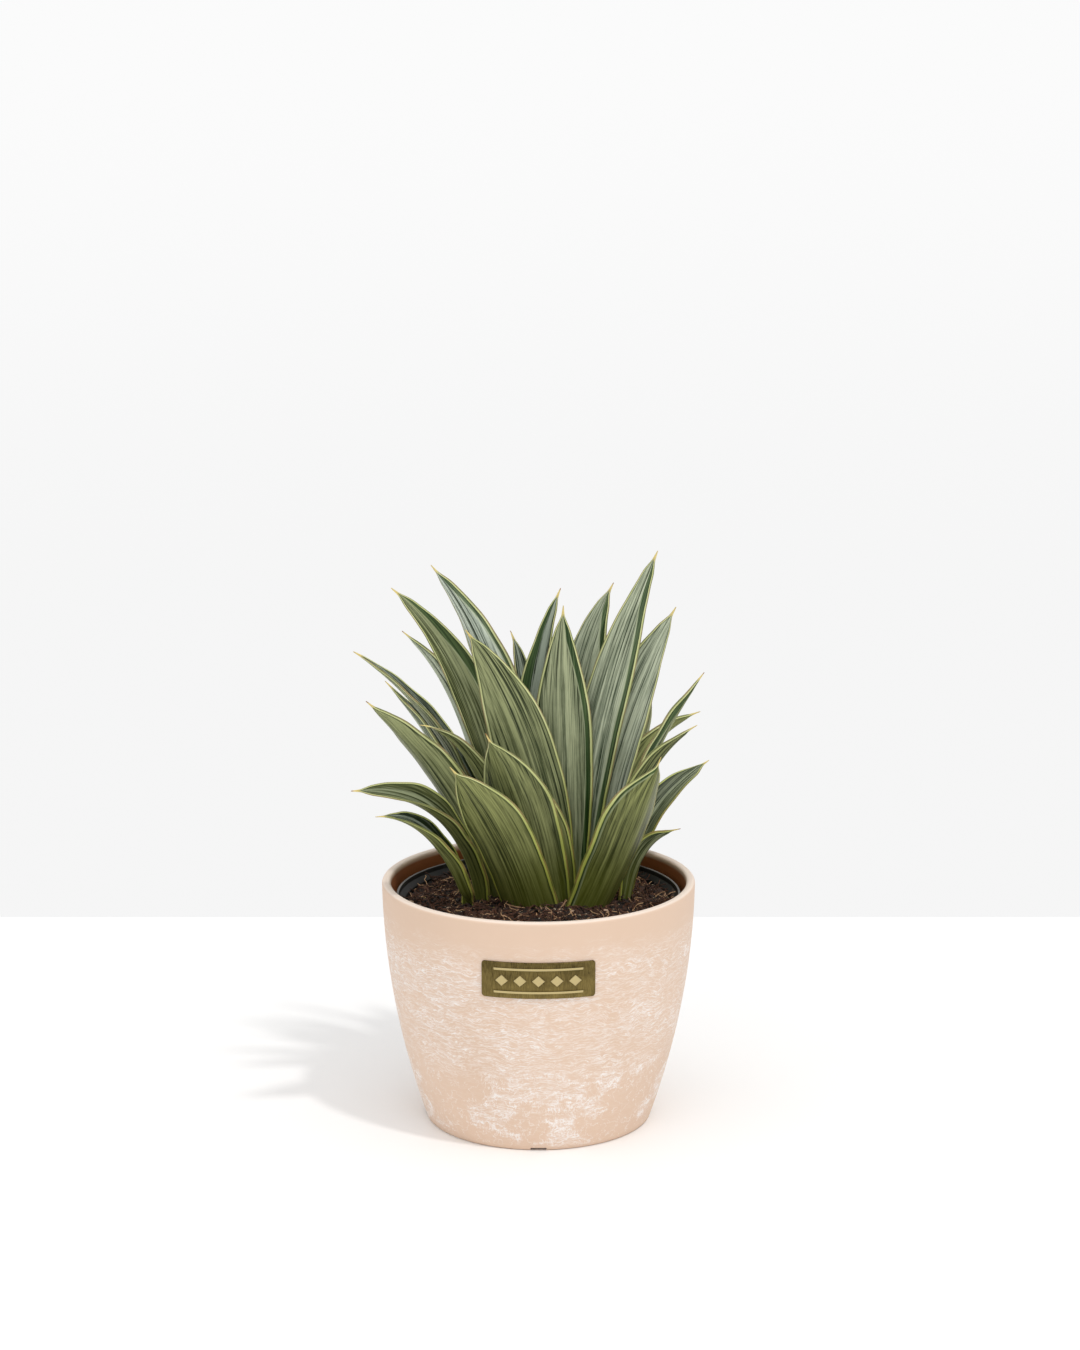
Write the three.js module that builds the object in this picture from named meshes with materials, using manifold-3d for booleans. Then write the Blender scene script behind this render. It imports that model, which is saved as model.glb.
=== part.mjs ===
// A potted snake plant: a tapered planter with a metal name plate, the plastic nursery pot that
// stands inside it, the potting soil, and a clump of channelled leaves that rise from the soil.
// Millimetres, +Z up. The origin is the centre of the planter's footprint, on the table.
import * as THREE from "three";
import { mergeVertices } from "three/addons/utils/BufferGeometryUtils.js";
import Module from "manifold-3d";

const wasm = await Module();
wasm.setup();

// ---------------------------------------------------------------- driving dimensions

const GAP = 0.3; // clearance between two pieces that touch
const SIDES = 44; // flats round the planter, the nursery pot and the soil

// Planter
const RIM_RADIUS = 70; // outside, at the top edge
const FOOT_RADIUS = 50.5; // outside, where the wall meets the table
const POT_HEIGHT = 110;
const WALL = 4; // thickness of the planter's wall
const WALL_BULGE = 4.6; // how far the wall swells outside a straight line from foot to rim
const RIM_ROUND = 1.6; // radius of the rim's two edges
const FOOT_RECESS = 2; // height of the hollow under the planter
const FOOT_RING = 4.5; // width of the ring that stands on the table
const FLOOR = 4; // thickness of the planter's floor
const DRAIN_RADIUS = 6;
const NOTCH_COUNT = 4; // drainage notches in the foot ring
const NOTCH_WIDTH = 7;
const NOTCH_HEIGHT = 1.4;

// Name plate
const PLATE_WIDTH = 50; // measured round the wall
const PLATE_HEIGHT = 16.5;
const PLATE_THICKNESS = 1.8;
const PLATE_PROUD = 0.9; // how far its face stands out of the wall
const PLATE_CORNER = 1.5;
const PLATE_DROP = 26; // from the rim down to the middle of the plate
const RELIEF = 0.5; // height of the raised motif
const LOZENGE_COUNT = 5;

// Nursery pot
const NURSERY_WALL = 1.2;
const NURSERY_LIP = 1.6; // how far the lip stands out of the nursery pot's wall
const NURSERY_LIP_HEIGHT = 3;
const NURSERY_DROP = 6.4; // from the planter's rim down to the nursery pot's rim
const NURSERY_PLAY = 2.2; // space between the lip and the planter's inside
const NURSERY_FOOT_PLAY = 3.5; // space round its foot, inside a wall as narrow as the planter's foot
const NURSERY_HOLE_COUNT = 6;
const NURSERY_HOLE_RADIUS = 3.5;

// Soil and plant
const SOIL_DROP = 4; // from the nursery pot's rim down to the soil
const SOIL_BUMP = 1.1; // height of the lumps in the soil's surface
const ROOT_DEPTH = 7; // how deep the leaves' feet go
const LEAF_THICKNESS = 2.3; // along the middle of a leaf
const LEAF_EDGE = 0.9; // along its margins
const SPINE_LENGTH = 5; // the stiff point at a leaf's tip
const SPINE_WIDTH = 1.5;

// The clump is measured for a mouth of this radius, and grows or shrinks with the planter's.
const MOUTH_OF_CLUMP = 66;

// ---------------------------------------------------------------- what follows from them

const MOUTH_RADIUS = RIM_RADIUS - WALL;
const PLANT = MOUTH_RADIUS / MOUTH_OF_CLUMP;
const FLOOR_TOP = FOOT_RECESS + FLOOR;
const NURSERY_RIM = POT_HEIGHT - NURSERY_DROP;
const NURSERY_FOOT = FLOOR_TOP + GAP;
const NURSERY_BASE_RADIUS = FOOT_RADIUS - WALL - NURSERY_FOOT_PLAY;
const SOIL_TOP = NURSERY_RIM - SOIL_DROP;
const PLATE_Z = POT_HEIGHT - PLATE_DROP;

// Radius of the planter's outside at a height: a straight taper with a swelling half-way up.
function wallRadius(z) {
  const t = THREE.MathUtils.clamp(z / POT_HEIGHT, 0, 1);
  const straight = FOOT_RADIUS + (RIM_RADIUS - FOOT_RADIUS) * t;
  return straight + WALL_BULGE * 4 * t * (1 - t);
}

const LIP_RADIUS = wallRadius(NURSERY_RIM) - WALL - NURSERY_PLAY;
const NURSERY_RADIUS = LIP_RADIUS - NURSERY_LIP;

// Radius of the nursery pot's outside at a height.
function nurseryRadius(z) {
  const t = (z - NURSERY_FOOT) / (NURSERY_RIM - NURSERY_FOOT);
  return THREE.MathUtils.lerp(NURSERY_BASE_RADIUS, NURSERY_RADIUS, t);
}

// ---------------------------------------------------------------- solids

// A manifold solid from a closed three.js geometry.
function solid(geometry) {
  const plain = geometry.index ? geometry.toNonIndexed() : geometry.clone();
  plain.deleteAttribute("normal");
  plain.deleteAttribute("uv");
  const merged = mergeVertices(plain, 1e-4);
  return new wasm.Manifold(
    new wasm.Mesh({
      numProp: 3,
      vertProperties: new Float32Array(merged.attributes.position.array),
      triVerts: new Uint32Array(merged.index.array),
    }),
  );
}

// A three.js geometry from a manifold solid.
function geometryOf(made) {
  const mesh = made.getMesh();
  const geometry = new THREE.BufferGeometry();
  geometry.setAttribute("position", new THREE.BufferAttribute(mesh.vertProperties, 3));
  geometry.setIndex(new THREE.BufferAttribute(mesh.triVerts, 1));
  geometry.computeVertexNormals();
  return geometry;
}

// A solid of revolution about +Z from [radius, height] points.
function turned(points, sides) {
  const profile = points.map(([r, z]) => new THREE.Vector2(r, z));
  return new THREE.LatheGeometry(profile, sides).rotateX(Math.PI / 2);
}

function upright(radius, bottom, top, sides, x = 0, y = 0) {
  return new THREE.CylinderGeometry(radius, radius, top - bottom, sides)
    .rotateX(Math.PI / 2)
    .translate(x, y, (top + bottom) / 2);
}

function arc(cx, cz, radius, from, to, steps) {
  const points = [];
  for (let i = 0; i <= steps; i++) {
    const a = THREE.MathUtils.degToRad(from + ((to - from) * i) / steps);
    points.push([cx + radius * Math.cos(a), cz + radius * Math.sin(a)]);
  }
  return points;
}

const group = new THREE.Group();

function piece(name, geometry, color, roughness, metalness = 0) {
  const material = new THREE.MeshStandardMaterial({ color, roughness, metalness });
  const mesh = new THREE.Mesh(geometry, material);
  mesh.name = name;
  group.add(mesh);
}

// ---------------------------------------------------------------- name plate

// A curved slab that follows the planter's wall, between two distances from its face.
function wallSlab(from, to) {
  const half = PLATE_HEIGHT / 2 + 2;
  const heights = [PLATE_Z - half, PLATE_Z + half];
  const inner = heights.map((z) => [wallRadius(z) + from, z]);
  const outer = heights.map((z) => [wallRadius(z) + to, z]);
  return solid(turned([inner[0], outer[0], outer[1], inner[1], inner[0]], 96));
}

// A shape drawn on the front of the planter, as a prism that reaches through its wall.
function frontPrism(shape) {
  const prism = new THREE.ExtrudeGeometry(shape, { depth: 40, bevelEnabled: false, curveSegments: 4 });
  return solid(prism.rotateX(Math.PI / 2).translate(0, -RIM_RADIUS + 32, PLATE_Z));
}

function roundedRectangle(width, height, corner) {
  const shape = new THREE.Shape();
  const x = width / 2;
  const y = height / 2;
  shape.moveTo(-x + corner, -y);
  shape.lineTo(x - corner, -y);
  shape.absarc(x - corner, -y + corner, corner, -Math.PI / 2, 0, false);
  shape.absarc(x - corner, y - corner, corner, 0, Math.PI / 2, false);
  shape.absarc(-x + corner, y - corner, corner, Math.PI / 2, Math.PI, false);
  shape.absarc(-x + corner, -y + corner, corner, Math.PI, 1.5 * Math.PI, false);
  return shape;
}

// The plate's width seen from the front, where its face is curved.
function plateSpan(radius) {
  return 2 * radius * Math.sin(PLATE_WIDTH / 2 / radius);
}

function plateBlank(extra) {
  const span = plateSpan(wallRadius(PLATE_Z)) + 2 * extra;
  const outline = roundedRectangle(span, PLATE_HEIGHT + 2 * extra, PLATE_CORNER + extra);
  const back = PLATE_PROUD - PLATE_THICKNESS - extra;
  const face = PLATE_PROUD + (extra ? 3 : 0);
  return wallSlab(back, face).intersect(frontPrism(outline));
}

function lozenge(x, width, height) {
  const shape = new THREE.Shape();
  shape.moveTo(x - width / 2, 0);
  shape.lineTo(x, -height / 2);
  shape.lineTo(x + width / 2, 0);
  shape.lineTo(x, height / 2);
  shape.closePath();
  return shape;
}

function bar(y, width, height) {
  const shape = new THREE.Shape();
  shape.moveTo(-width / 2, y - height / 2);
  shape.lineTo(width / 2, y - height / 2);
  shape.lineTo(width / 2, y + height / 2);
  shape.lineTo(-width / 2, y + height / 2);
  shape.closePath();
  return shape;
}

// A row of raised lozenges between two raised lines.
function namePlate() {
  const relief = wallSlab(PLATE_PROUD - GAP, PLATE_PROUD + RELIEF);
  const pitch = (PLATE_WIDTH * 0.8) / LOZENGE_COUNT;
  let made = plateBlank(0);
  for (let i = 0; i < LOZENGE_COUNT; i++) {
    const x = (i - (LOZENGE_COUNT - 1) / 2) * pitch;
    made = made.add(relief.intersect(frontPrism(lozenge(x, pitch * 0.8, PLATE_HEIGHT * 0.36))));
  }
  for (const side of [-1, 1]) {
    const line = bar(side * PLATE_HEIGHT * 0.32, PLATE_WIDTH * 0.8, PLATE_HEIGHT * 0.06);
    made = made.add(relief.intersect(frontPrism(line)));
  }
  return made;
}

// ---------------------------------------------------------------- planter

function planter() {
  const outer = [];
  const steps = 7;
  for (let i = 0; i <= steps; i++) {
    const z = THREE.MathUtils.lerp(0.8, POT_HEIGHT - RIM_ROUND, i / steps);
    outer.push([wallRadius(z), z]);
  }
  const top = POT_HEIGHT - RIM_ROUND;
  const rim = [
    ...arc(RIM_RADIUS - RIM_ROUND, top, RIM_ROUND, 30, 90, 2),
    ...arc(MOUTH_RADIUS + RIM_ROUND, top, RIM_ROUND, 90, 180, 3),
  ];
  const inner = [];
  for (const share of [0.75, 0.5, 0.25]) {
    const z = THREE.MathUtils.lerp(FLOOR_TOP, POT_HEIGHT, share);
    inner.push([wallRadius(z) - WALL, z]);
  }
  const floorRadius = wallRadius(FLOOR_TOP + 3) - WALL;
  const profile = [
    [DRAIN_RADIUS, FOOT_RECESS],
    [FOOT_RADIUS - FOOT_RING - 0.5, FOOT_RECESS],
    [FOOT_RADIUS - FOOT_RING, 0],
    [FOOT_RADIUS - 0.6, 0],
    ...outer,
    ...rim,
    ...inner,
    [floorRadius, FLOOR_TOP + 3],
    [floorRadius - 3, FLOOR_TOP],
    [DRAIN_RADIUS, FLOOR_TOP],
    [DRAIN_RADIUS, FOOT_RECESS],
  ];
  let made = solid(turned(profile, SIDES));
  for (let i = 0; i < NOTCH_COUNT; i++) {
    const notch = new THREE.BoxGeometry(FOOT_RING * 3, NOTCH_WIDTH, 2 * NOTCH_HEIGHT)
      .translate(FOOT_RADIUS - FOOT_RING / 2, 0, 0)
      .rotateZ(-Math.PI / 2 + (i * 2 * Math.PI) / NOTCH_COUNT);
    made = made.subtract(solid(notch));
  }
  return made.subtract(plateBlank(GAP));
}

// ---------------------------------------------------------------- nursery pot

function nurseryPot() {
  const lipFoot = NURSERY_RIM - NURSERY_LIP_HEIGHT;
  const profile = [
    [0, NURSERY_FOOT],
    [NURSERY_BASE_RADIUS - 1, NURSERY_FOOT],
    [NURSERY_BASE_RADIUS, NURSERY_FOOT + 1],
    [nurseryRadius(lipFoot - 0.5), lipFoot - 0.5],
    [LIP_RADIUS, lipFoot],
    [LIP_RADIUS, NURSERY_RIM - 0.4],
    [LIP_RADIUS - 0.4, NURSERY_RIM],
    [LIP_RADIUS - NURSERY_WALL, NURSERY_RIM],
    [LIP_RADIUS - NURSERY_WALL - 0.3, lipFoot + 1],
    [nurseryRadius(lipFoot - 1) - NURSERY_WALL, lipFoot - 1],
    [nurseryRadius(NURSERY_FOOT + 3) - NURSERY_WALL, NURSERY_FOOT + 3],
    [NURSERY_BASE_RADIUS - 3, NURSERY_FOOT + NURSERY_WALL],
    [0, NURSERY_FOOT + NURSERY_WALL],
  ];
  let made = solid(turned(profile, SIDES));
  for (let i = 0; i < NURSERY_HOLE_COUNT; i++) {
    const a = (i * 2 * Math.PI) / NURSERY_HOLE_COUNT;
    const reach = NURSERY_BASE_RADIUS * 0.66;
    const hole = upright(
      NURSERY_HOLE_RADIUS,
      NURSERY_FOOT - 1,
      NURSERY_FOOT + NURSERY_WALL + 1,
      12,
      reach * Math.cos(a),
      reach * Math.sin(a),
    );
    made = made.subtract(solid(hole));
  }
  return made;
}

// ---------------------------------------------------------------- leaves

// Every leaf: where its foot stands on the soil [x, y], the middle and the tip of its keel
// [x, y, height above the soil], its width laid flat, how far its two halves fold up (degrees),
// the compass direction its channel opens to (degrees from +X towards +Y) and the width of its
// foot as a share of the widest part.
const LEAVES = [
  { name: "leaf_front_left_short", root: [-5, -14], mid: [-18, -32, 39], tip: [-38, -46, 73],
    width: 28, fold: 20, face: 75, foot: 0.98 },
  { name: "leaf_front_left_broad", root: [1, -7], mid: [-9, -20, 46], tip: [-23, -30, 84],
    width: 32, fold: 20, face: 75, foot: 0.85 },
  { name: "leaf_front_inner_short", root: [9, -3], mid: [5, -12, 32], tip: [-6, -17, 64],
    width: 18, fold: 25, face: 75, foot: 0.8 },
  { name: "leaf_centre_left_broad", root: [10, 5], mid: [-6, -2, 72], tip: [-32, -6, 125],
    width: 29, fold: 22, face: 105, foot: 0.55 },
  { name: "leaf_centre_upright", root: [14, 13], mid: [11, 12, 78], tip: [11, 13, 132],
    width: 27, fold: 20, face: 90, foot: 0.5 },
  { name: "leaf_centre_rear", root: [-1, 27], mid: [-2, 31, 78], tip: [10, 38, 135],
    width: 17, fold: 35, face: -115, foot: 0.6 },
  { name: "leaf_right_rear_upright", root: [16, 33], mid: [15, 39, 76], tip: [34, 46, 136],
    width: 27, fold: 22, face: 60, foot: 0.6 },
  { name: "leaf_right_tallest", root: [19, 19], mid: [27, 19, 77], tip: [53, 22, 155],
    width: 21, fold: 25, face: 75, foot: 0.55 },
  { name: "leaf_right_tall", root: [23, 25], mid: [36, 28, 68], tip: [62, 35, 127],
    width: 25, fold: 22, face: 100, foot: 0.6 },
  { name: "leaf_right_hidden", root: [23, 45], mid: [43, 54, 49], tip: [53, 62, 81],
    width: 18, fold: 30, face: 120, foot: 0.6 },
  { name: "leaf_right_upper", root: [33, 22], mid: [49, 18, 55], tip: [74, 16, 101],
    width: 14, fold: 35, face: 165, foot: 0.8 },
  { name: "leaf_right_rear_low", root: [34, 37], mid: [46, 42, 51], tip: [74, 46, 76],
    width: 16, fold: 35, face: 150, foot: 0.7 },
  { name: "leaf_right_middle", root: [31, 7], mid: [47, 1, 53], tip: [70, -6, 82],
    width: 16, fold: 35, face: 150, foot: 0.8 },
  { name: "leaf_front_right_broad", root: [27, -14], mid: [41, -27, 38], tip: [53, -36, 75],
    width: 31, fold: 35, face: 120, foot: 0.9 },
  { name: "leaf_right_low", root: [40, 12], mid: [51, 17, 33], tip: [78, 42, 54],
    width: 15, fold: 30, face: -130, foot: 0.8 },
  { name: "leaf_right_lowest", root: [40, 1], mid: [48, -2, 24], tip: [63, -7, 35],
    width: 14, fold: 30, face: 150, foot: 0.7 },
  { name: "leaf_rear_small", root: [-1, 44], mid: [-5, 56, 70], tip: [-13, 64, 110],
    width: 18, fold: 35, face: -60, foot: 0.7 },
  { name: "leaf_left_rear_tall", root: [-6, 36], mid: [-19, 44, 85], tip: [-49, 52, 143],
    width: 23, fold: 30, face: 60, foot: 0.6 },
  { name: "leaf_left_tall", root: [-11, 23], mid: [-31, 25, 86], tip: [-66, 28, 137],
    width: 22, fold: 35, face: -60, foot: 0.6 },
  { name: "leaf_left_rear_upper", root: [-19, 31], mid: [-35, 36, 73], tip: [-62, 44, 114],
    width: 20, fold: 40, face: 20, foot: 0.6 },
  { name: "leaf_left_upper", root: [-16, 12], mid: [-41, 3, 70], tip: [-81, -10, 116],
    width: 13, fold: 40, face: 0, foot: 0.9 },
  { name: "leaf_left_rear_middle", root: [-24, 24], mid: [-40, 23, 52], tip: [-69, 25, 95],
    width: 15, fold: 40, face: -10, foot: 0.8 },
  { name: "leaf_left_middle", root: [-21, 3], mid: [-42, -6, 52], tip: [-75, -24, 97],
    width: 24, fold: 30, face: 50, foot: 0.7 },
  { name: "leaf_left_inner_curled", root: [-10, 7], mid: [-28, -5, 61], tip: [-52, -14, 84],
    width: 15, fold: 40, face: 30, foot: 0.7 },
  { name: "leaf_left_arching", root: [-27, -2], mid: [-44, -25, 45], tip: [-80, -56, 65],
    width: 18, fold: 40, face: 20, foot: 0.7 },
  { name: "leaf_left_lowest", root: [-31, -12], mid: [-48, -32, 38], tip: [-70, -50, 52],
    width: 15, fold: 40, face: 20, foot: 0.7 },
  { name: "leaf_back_centre_short", root: [8, 53], mid: [13, 61, 45], tip: [18, 68, 80],
    width: 20, fold: 30, face: -95, foot: 0.8 },
  { name: "leaf_back_left_short", root: [-14, 46], mid: [-23, 58, 40], tip: [-35, 67, 66],
    width: 20, fold: 30, face: -65, foot: 0.8 },
];

const TIP_RUN = 0.43; // share of the leaf over which it narrows to its tip
const STATIONS = [0, 0.12, 0.25, 0.38, 0.5, 0.61, 0.71, 0.8, 0.88, 0.94, 1];
const ACROSS = [-1, -0.5, 0, 0.5, 1];

// Half the leaf's flat width at a share of the way from foot to spine.
function halfWidth(leaf, share) {
  const swell = leaf.foot + (1 - leaf.foot) * Math.sin((Math.PI / 2) * Math.min(1, share / 0.5));
  const left = Math.min(1, (1 - share) / TIP_RUN);
  const taper = 1 - (1 - left) ** 1.8;
  const widest = (leaf.width * PLANT) / 2;
  return Math.max(widest * swell * taper, SPINE_WIDTH / 2);
}

function keelOf(leaf) {
  const root = new THREE.Vector3(leaf.root[0], leaf.root[1], 0).multiplyScalar(PLANT);
  const mid = new THREE.Vector3(...leaf.mid).multiplyScalar(PLANT);
  const tip = new THREE.Vector3(...leaf.tip).multiplyScalar(PLANT);
  for (const point of [root, mid, tip]) point.z += SOIL_TOP;
  const pull = mid.clone().multiplyScalar(2).addScaledVector(root, -0.5).addScaledVector(tip, -0.5);
  return new THREE.QuadraticBezierCurve3(root, pull, tip);
}

// One cross-section of a leaf: a shallow channel, thick along its keel and thin at its margins.
function section(centre, along, open, half, fold, thickness, edge, grow) {
  const face = open.clone().addScaledVector(along, -open.dot(along)).normalize();
  const side = new THREE.Vector3().crossVectors(along, face);
  const lift = THREE.MathUtils.degToRad(fold);
  const inner = [];
  const outer = [];
  for (const u of ACROSS) {
    const sideways = u * (half * Math.cos(lift) + grow);
    const rise = half * Math.sin(lift) * Math.abs(u) ** 1.5;
    const thick = THREE.MathUtils.lerp(thickness, edge, u * u) / 2 + grow;
    const point = centre.clone().addScaledVector(side, sideways).addScaledVector(face, rise);
    inner.push(point.clone().addScaledVector(face, thick));
    outer.push(point.clone().addScaledVector(face, -thick));
  }
  return [...inner, ...outer.reverse()];
}

// A closed loft through rings of points, with a flat first end and an apex at the other.
function loft(rings, apex) {
  const points = [...rings.flat(), apex];
  const faces = [];
  const count = rings[0].length;
  for (let r = 0; r + 1 < rings.length; r++) {
    for (let i = 0; i < count; i++) {
      const a = r * count + i;
      const b = r * count + ((i + 1) % count);
      faces.push(a, b, b + count, a, b + count, a + count);
    }
  }
  const last = (rings.length - 1) * count;
  for (let i = 0; i < count; i++) faces.push(last + i, last + ((i + 1) % count), points.length - 1);
  const half = count / 2;
  for (let i = 0; i + 1 < half; i++) {
    const a = i;
    const b = i + 1;
    const c = count - 2 - i;
    const d = count - 1 - i;
    faces.push(b, a, d, b, d, c);
  }
  const geometry = new THREE.BufferGeometry().setFromPoints(points);
  geometry.setIndex(faces);
  return geometry;
}

// The leaf's rings from its foot in the soil up to a share of its length.
function leafRings(leaf, top, grow) {
  const keel = keelOf(leaf);
  const length = keel.getLength();
  const spineFoot = 1 - (SPINE_LENGTH * PLANT) / length;
  const open = new THREE.Vector3(1, 0, 0);
  open.applyAxisAngle(new THREE.Vector3(0, 0, 1), THREE.MathUtils.degToRad(leaf.face));
  const start = keel.getTangent(0);
  const foot = keel.getPoint(0).addScaledVector(start, -(ROOT_DEPTH + grow) / start.z);
  const half = halfWidth(leaf, 0);
  const rings = [section(foot, start, open, half, leaf.fold, LEAF_THICKNESS, LEAF_EDGE, grow)];
  for (const share of STATIONS.filter((s) => s <= top)) {
    const at = share * spineFoot;
    const ease = 1 - share ** 3;
    const thickness = THREE.MathUtils.lerp(SPINE_WIDTH * 0.8, LEAF_THICKNESS, ease);
    const centre = keel.getPointAt(at);
    const along = keel.getTangentAt(at);
    const fold = leaf.fold;
    rings.push(section(centre, along, open, halfWidth(leaf, share), fold, thickness, LEAF_EDGE, grow));
  }
  return rings;
}

function leafGeometry(leaf) {
  const geometry = loft(leafRings(leaf, 1, 0), keelOf(leaf).getPoint(1));
  geometry.computeVertexNormals();
  return geometry;
}

// The pocket that a leaf's foot stands in.
function pocket(leaf) {
  const rings = leafRings(leaf, 0.25, GAP);
  const apex = rings.at(-1).reduce((sum, p) => sum.add(p), new THREE.Vector3());
  apex.divideScalar(rings.at(-1).length);
  return solid(loft(rings, apex));
}

// ---------------------------------------------------------------- soil

// Small lumps, the same every time.
function lump(x, y) {
  return Math.sin(x * 0.31 + 1.3) * Math.cos(y * 0.27 - 0.4) + 0.5 * Math.sin(x * 0.73 - y * 0.61);
}

function soil() {
  const bottom = NURSERY_FOOT + NURSERY_WALL + GAP;
  const sideRadius = (z) => nurseryRadius(z) - NURSERY_WALL - GAP;
  const edge = sideRadius(SOIL_TOP - 2);
  const profile = [
    [0, bottom],
    [NURSERY_BASE_RADIUS - 3 - GAP, bottom],
    [sideRadius(NURSERY_FOOT + 3), NURSERY_FOOT + 3 + GAP],
    [edge, SOIL_TOP - 2],
  ];
  for (const share of [0.9, 0.7, 0.5, 0.3, 0.15]) {
    profile.push([edge * share, SOIL_TOP - 0.8 * share ** 4]);
  }
  profile.push([0, SOIL_TOP]);
  const geometry = turned(profile, SIDES);
  const position = geometry.attributes.position;
  for (let i = 0; i < position.count; i++) {
    const x = position.getX(i);
    const y = position.getY(i);
    const z = position.getZ(i);
    if (z > SOIL_TOP - 1.5) position.setZ(i, z + (SOIL_BUMP / 1.5) * lump(x, y));
  }
  let made = solid(geometry);
  for (const leaf of LEAVES) made = made.subtract(pocket(leaf));
  return made;
}

// ---------------------------------------------------------------- the object

piece("planter", geometryOf(planter()), 0xe3cbb6, 0.85);
piece("name_plate", geometryOf(namePlate()), 0x7a6a3e, 0.4, 0.9);
piece("nursery_pot", geometryOf(nurseryPot()), 0x1b1b1c, 0.5);
piece("soil", geometryOf(soil()), 0x35251b, 0.95);
for (const leaf of LEAVES) piece(leaf.name, leafGeometry(leaf), 0x75835f, 0.5);

export default group;
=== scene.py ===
# %% [markdown]
# # A potted snake plant
# This lesson dresses a small houseplant: a peach planter with a brass name plate, the black
# nursery pot inside it, damp soil, and a clump of stiff striped leaves. The sizes come from a
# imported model, the frame, which is loaded first and never changed. Each piece here is modelled
# again over its plain solid, finer and with a finish of its own, in the same place, in metres.

import itertools
import math

import bmesh
import bpy
import numpy as np
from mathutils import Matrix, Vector, noise


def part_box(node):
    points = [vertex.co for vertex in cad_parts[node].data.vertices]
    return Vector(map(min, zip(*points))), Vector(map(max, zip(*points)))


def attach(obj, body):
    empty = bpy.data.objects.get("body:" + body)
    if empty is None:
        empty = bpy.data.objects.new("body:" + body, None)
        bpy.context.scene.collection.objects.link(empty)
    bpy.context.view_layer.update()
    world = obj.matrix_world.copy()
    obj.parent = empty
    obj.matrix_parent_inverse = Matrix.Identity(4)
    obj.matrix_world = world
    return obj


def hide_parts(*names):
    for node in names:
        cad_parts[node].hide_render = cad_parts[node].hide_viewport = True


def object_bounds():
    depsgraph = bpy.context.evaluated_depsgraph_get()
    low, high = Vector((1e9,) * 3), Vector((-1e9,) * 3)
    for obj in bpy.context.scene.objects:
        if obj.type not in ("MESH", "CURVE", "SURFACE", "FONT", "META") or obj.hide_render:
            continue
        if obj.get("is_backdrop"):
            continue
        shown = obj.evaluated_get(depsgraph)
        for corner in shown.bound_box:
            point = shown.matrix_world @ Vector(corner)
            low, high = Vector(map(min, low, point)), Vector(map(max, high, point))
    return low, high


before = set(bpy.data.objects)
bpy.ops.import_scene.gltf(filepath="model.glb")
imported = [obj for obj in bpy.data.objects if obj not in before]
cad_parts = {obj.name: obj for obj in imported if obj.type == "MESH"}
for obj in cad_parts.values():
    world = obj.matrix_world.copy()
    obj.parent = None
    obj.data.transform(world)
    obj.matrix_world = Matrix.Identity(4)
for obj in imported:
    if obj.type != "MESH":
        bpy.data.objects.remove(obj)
cad_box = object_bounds()
leaf_names = sorted(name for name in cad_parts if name.startswith("leaf_"))
MM = 0.001
print(f"{len(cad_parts)} solids in the frame, {len(leaf_names)} of them leaves")

# %% [markdown]
# ## A small language for nodes
# A finish is a sum of patterns, and a sum is easier to read as Python than as a web of nodes.
# Value wraps the output of one node, so that `1 - mask` or `height * 3` adds the Math node it
# needs. Nodes adds every other kind: its type, its settings, then the values or links that go
# into its sockets. Both serve materials and Geometry Nodes alike.

# %% Value and Nodes
class Value:
    """The output of a node, ready for sums."""

    def __init__(self, socket):
        self.socket = socket
        self.nodes = Nodes(socket.id_data)

    def math(self, operation, *others, clamp=False):
        settings = {"operation": operation, "use_clamp": clamp}
        return self.nodes.add("ShaderNodeMath", settings, dict(enumerate((self, *others))))

    def __add__(self, other):
        return self.math("ADD", other)

    def __sub__(self, other):
        return self.math("SUBTRACT", other)

    def __rsub__(self, other):
        return self * -1 + other

    def __mul__(self, other):
        return self.math("MULTIPLY", other)

    def __truediv__(self, other):
        return self.math("DIVIDE", other)

    __radd__ = __add__
    __rmul__ = __mul__

    def vector(self, operation, other):
        """The same for places: add, multiply or subtract another place, or SCALE by a number."""
        inputs = {0: self, "Scale" if operation == "SCALE" else 1: other}
        return self.nodes.add("ShaderNodeVectorMath", {"operation": operation}, inputs)

    def clamp(self):
        return self.math("ADD", 0.0, clamp=True)

    def step(self, low, high):
        """0 up to low and 1 from high, with a soft step between them; high may be the lower."""
        settings = {"interpolation_type": "SMOOTHSTEP"}
        inputs = {"Value": self, "From Min": low, "From Max": high}
        if low > high:
            inputs = {"Value": self, "From Min": high, "From Max": low, "To Min": 1.0, "To Max": 0.0}
        return self.nodes.add("ShaderNodeMapRange", settings, inputs)


class Nodes:
    """Adds nodes to one tree."""

    def __init__(self, tree):
        self.tree = tree

    def add(self, kind, settings=None, inputs=None, output=0):
        node = self.tree.nodes.new(kind)
        for name, value in (settings or {}).items():
            setattr(node, name, value)
        for name, value in (inputs or {}).items():
            if isinstance(value, Value):
                self.tree.links.new(value.socket, node.inputs[name])
            else:
                node.inputs[name].default_value = value
        return Value(node.outputs[output])


print("node helpers are ready")

# %% [markdown]
# ## Patterns that several finishes share
# Most of these finishes are noise in one form or another. Stretching the place where noise is
# read turns blots into streaks, and the thin band where noise crosses one half draws a fine wavy
# line. Places are in millimetres, so that each number is a real size.

# %% Start a finish and read places in it
def new_finish(name, **constants):
    """A material and its nodes. The constants go straight onto the shader's own sockets."""
    material = bpy.data.materials.new(name)
    material.use_nodes = True
    shader = material.node_tree.nodes["Principled BSDF"]
    for socket, value in constants.items():
        shader.inputs[socket.replace("_", " ")].default_value = value
    return material, Nodes(material.node_tree), shader


def feed(shader, **values):
    """Link what changes over the surface to the shader."""
    for socket, value in values.items():
        shader.id_data.links.new(value.socket, shader.inputs[socket.replace("_", " ")])


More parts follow.
